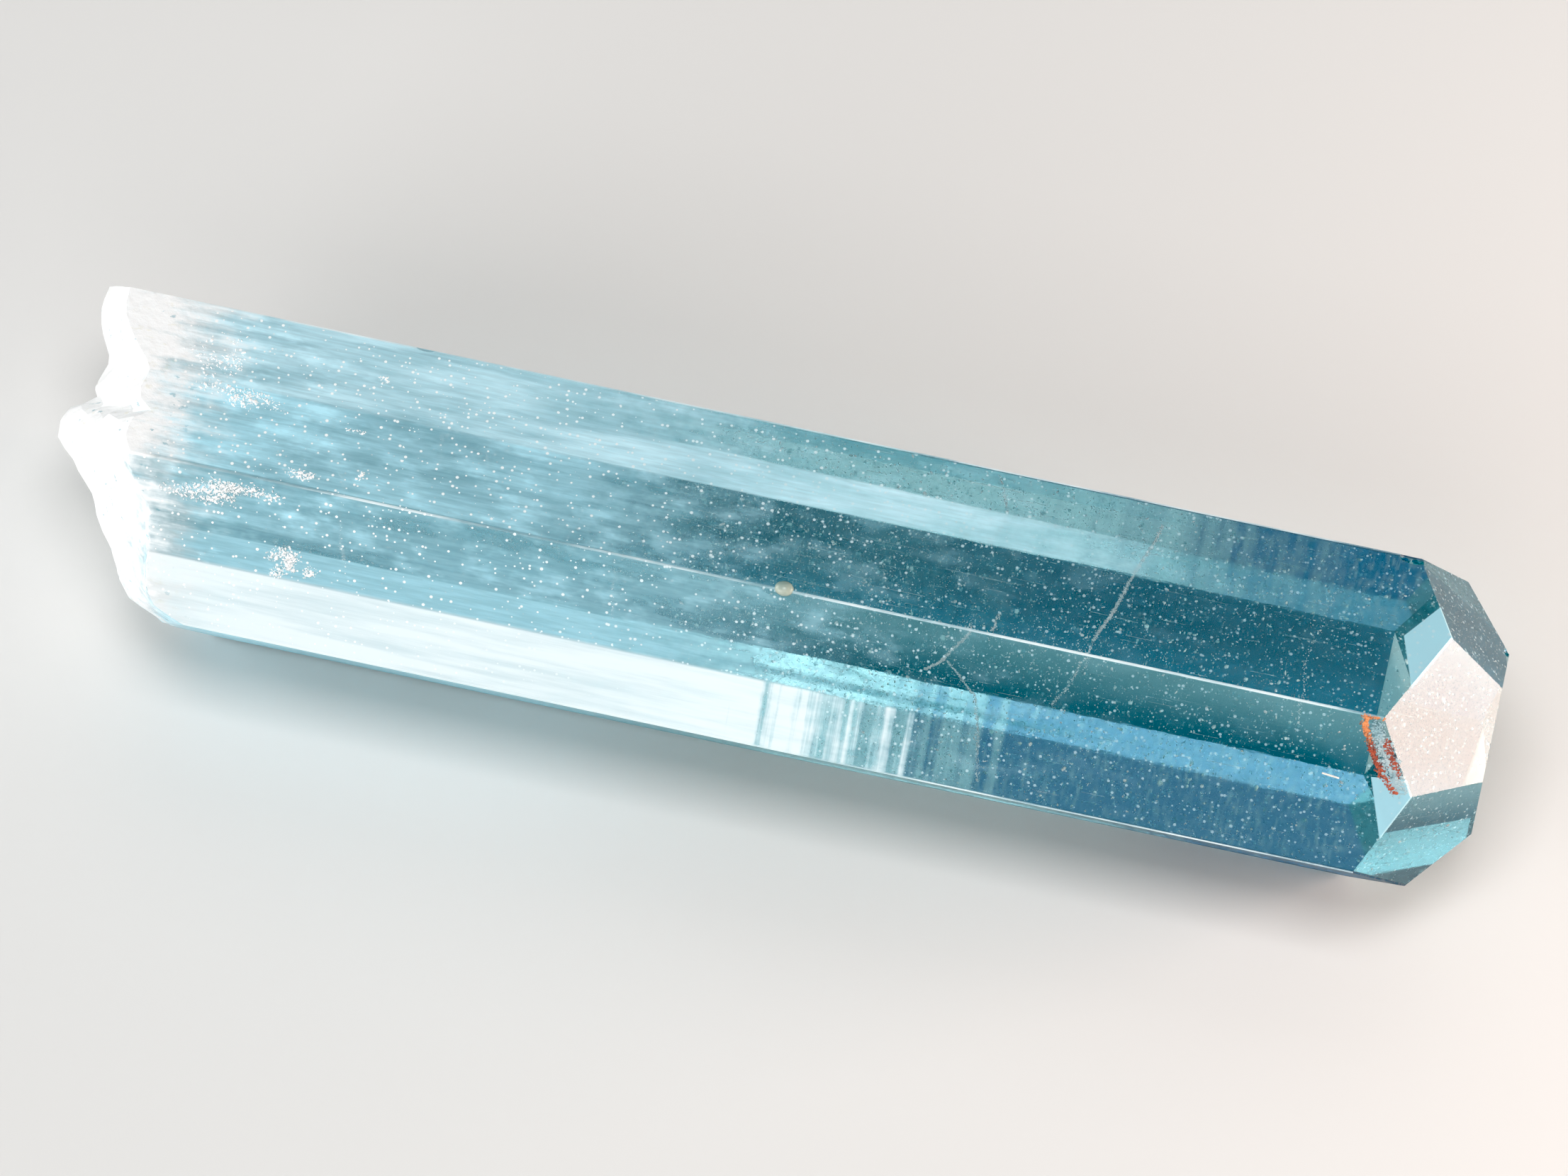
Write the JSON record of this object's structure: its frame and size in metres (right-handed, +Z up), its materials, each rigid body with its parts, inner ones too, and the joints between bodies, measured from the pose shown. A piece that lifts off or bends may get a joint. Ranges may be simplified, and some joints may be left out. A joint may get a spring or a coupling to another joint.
{
  "type": "aquamarine crystal",
  "caption": "Long six-sided aquamarine prism with bevelled pyramid faces and a flat top at one end, and a rough broken base at the other.",
  "frame": {"origin": "on the surface the crystal lies on, under the middle of its bounding box", "axes": "+X along the crystal, from its broken base to its grown end; +Z up, square to the side face it lies on"},
  "size_m": [0.0582, 0.0156, 0.0135],
  "materials": {
    "aquamarine": "clear pale blue with bright natural faces, clouded white at the broken base"
  },
  "bodies": {
    "root": {"crystal": "aquamarine"}
  },
  "joints": []
}
